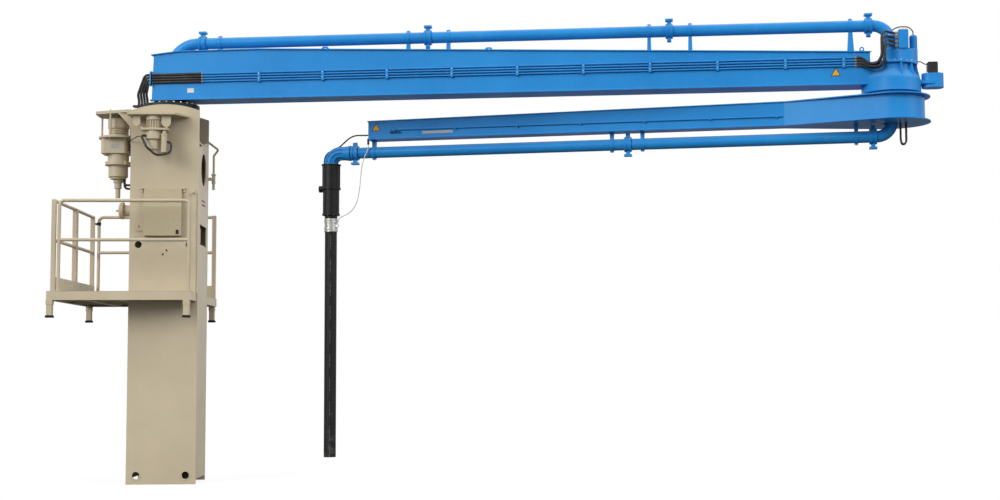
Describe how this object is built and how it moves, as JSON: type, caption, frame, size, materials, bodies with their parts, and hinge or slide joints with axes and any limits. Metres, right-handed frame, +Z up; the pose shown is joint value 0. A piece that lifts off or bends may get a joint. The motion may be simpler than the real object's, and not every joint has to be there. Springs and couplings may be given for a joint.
{
  "type": "stationary concrete placing boom",
  "caption": "Box column with a railed work platform carrying two blue folding box arms, a delivery line along both and a hanging end hose.",
  "frame": {"origin": "centre of the column's foot, on the ground plane of the foot pins' cheeks", "axes": "+Z up along the column, +X to the right seen from the column's front, +Y to the column's back"},
  "size_m": [10.595, 3.0963, 5.573],
  "materials": {
    "beige_paint": "satin beige paint",
    "beige_floor": "satin beige paint on tread plate",
    "beige_lid": "gloss beige paint",
    "blue_paint": "gloss blue paint",
    "black_rubber": "matt",
    "black_plastic": "matt",
    "black_steel": "satin black paint",
    "grey_pvc": "matt cable sheath",
    "steel": "zinc plated"
  },
  "bodies": {
    "column": {"column": "beige_paint", "slewing_housing": "beige_paint", "left_drive_plate": "beige_paint", "front_drive_plate": "beige_paint", "left_drive_gearbox": "beige_paint", "left_drive_motor": "beige_paint", "front_drive_gearbox": "beige_paint", "front_drive_motor": "beige_paint", "cabinet": "beige_paint", "platform_frame": "beige_paint", "platform_floor": "beige_floor", "platform_legs": "beige_paint", "front_railing": "beige_paint", "left_railing": "beige_paint", "back_railing": "beige_paint", "toe_boards": "beige_paint", "hanger_bar": "beige_paint", "side_port_cap": "beige_paint", "side_port": "beige_paint", "riser_pipe": "beige_paint", "cheek_boss": "beige_paint", "control_valves": "steel", "lid_brackets": "beige_paint", "lock_cylinder": "steel", "rear_conduit": "beige_paint", "leg_pads": "black_rubber", "drive_hoses": "black_rubber"},
    "lid": {"cabinet_lid": "beige_lid"},
    "gate": {"gate": "beige_paint", "gate_latch": "black_steel"},
    "boom": {"turntable": "blue_paint", "arm_1_box": "blue_paint", "delivery_pipe_1": "blue_paint", "pipe_1_couplings": "blue_paint", "pipe_1_supports": "blue_paint", "hydraulic_tubes": "blue_paint", "elbow_housing": "blue_paint", "elbow_drive": "blue_paint", "elbow_collar": "blue_paint", "elbow_bracket": "blue_paint", "elbow_gussets": "blue_paint", "hose_guide": "blue_paint", "root_hoses": "black_rubber", "elbow_hoses": "black_rubber", "elbow_motor": "black_plastic"},
    "arm_2": {"arm_2_ring": "blue_paint", "arm_2_box": "blue_paint", "delivery_pipe_2": "blue_paint", "pipe_2_couplings": "blue_paint", "pipe_2_supports": "blue_paint", "end_elbow": "blue_paint", "arm_2_conduit": "blue_paint", "loop_hoses": "black_rubber", "pinch_valve": "black_steel", "end_hose": "black_rubber", "hose_clamp": "steel", "cable_glands": "black_plastic", "valve_cable": "black_rubber", "safety_cable": "grey_pvc"}
  },
  "joints": [
    {"name": "boom_slew", "type": "hinge", "parent": "column", "child": "boom", "pos_m": [0, 0, 4.6], "axis": [0, 0, 1], "range_deg": [-180, 180]},
    {"name": "arm_2_slew", "type": "hinge", "parent": "boom", "child": "arm_2", "pos_m": [8.69025, -1.32048, 4.6], "axis": [0, 0, -1], "range_deg": [0, 335]},
    {"name": "gate_hinge", "type": "hinge", "parent": "column", "child": "gate", "pos_m": [-0.42, 1.288, 2.9], "axis": [0, 0, 1], "range_deg": [0, 90]},
    {"name": "lid_hinge", "type": "hinge", "parent": "column", "child": "lid", "pos_m": [-0.012, -0.401, 3.568], "axis": [-1, 0, 0], "range_deg": [0, 40]}
  ]
}
